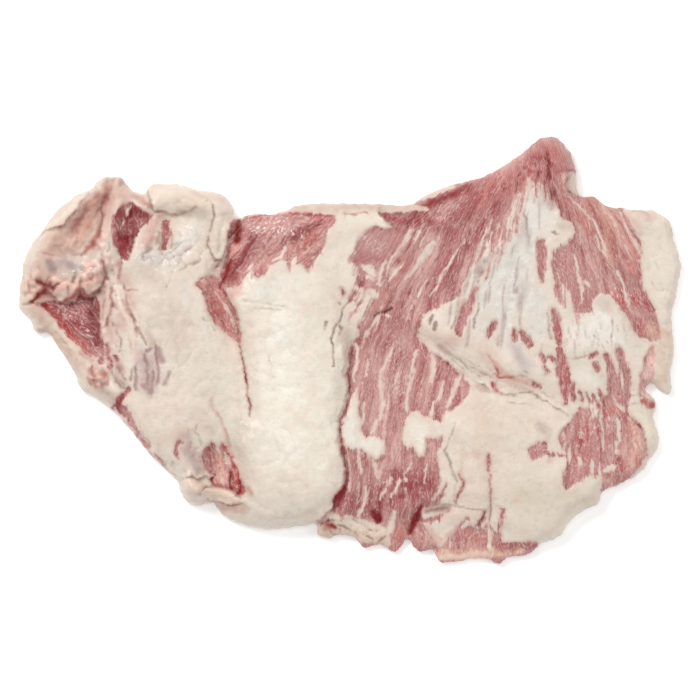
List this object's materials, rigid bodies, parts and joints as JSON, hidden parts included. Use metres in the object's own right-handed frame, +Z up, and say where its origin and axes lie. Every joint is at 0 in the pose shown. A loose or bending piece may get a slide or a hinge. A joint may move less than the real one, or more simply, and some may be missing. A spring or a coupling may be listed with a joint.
{
  "type": "pork secreto",
  "caption": "Raw pork secreto: a thin, fan-shaped sheet of marbled lean with pale fat slabs, one end folded over, lying flat with its fat side up.",
  "frame": {"origin": "on the table, under the middle of the piece's bounding box", "axes": "+X along the length towards the wide fan end, +Y across towards the side with the peak, +Z up through the fat side that shows"},
  "size_m": [0.33, 0.213, 0.0248],
  "materials": {
    "raw_pork": "moist satin, cream fat over pink and red lean"
  },
  "bodies": {
    "root": {"secreto": "raw_pork"}
  },
  "joints": []
}
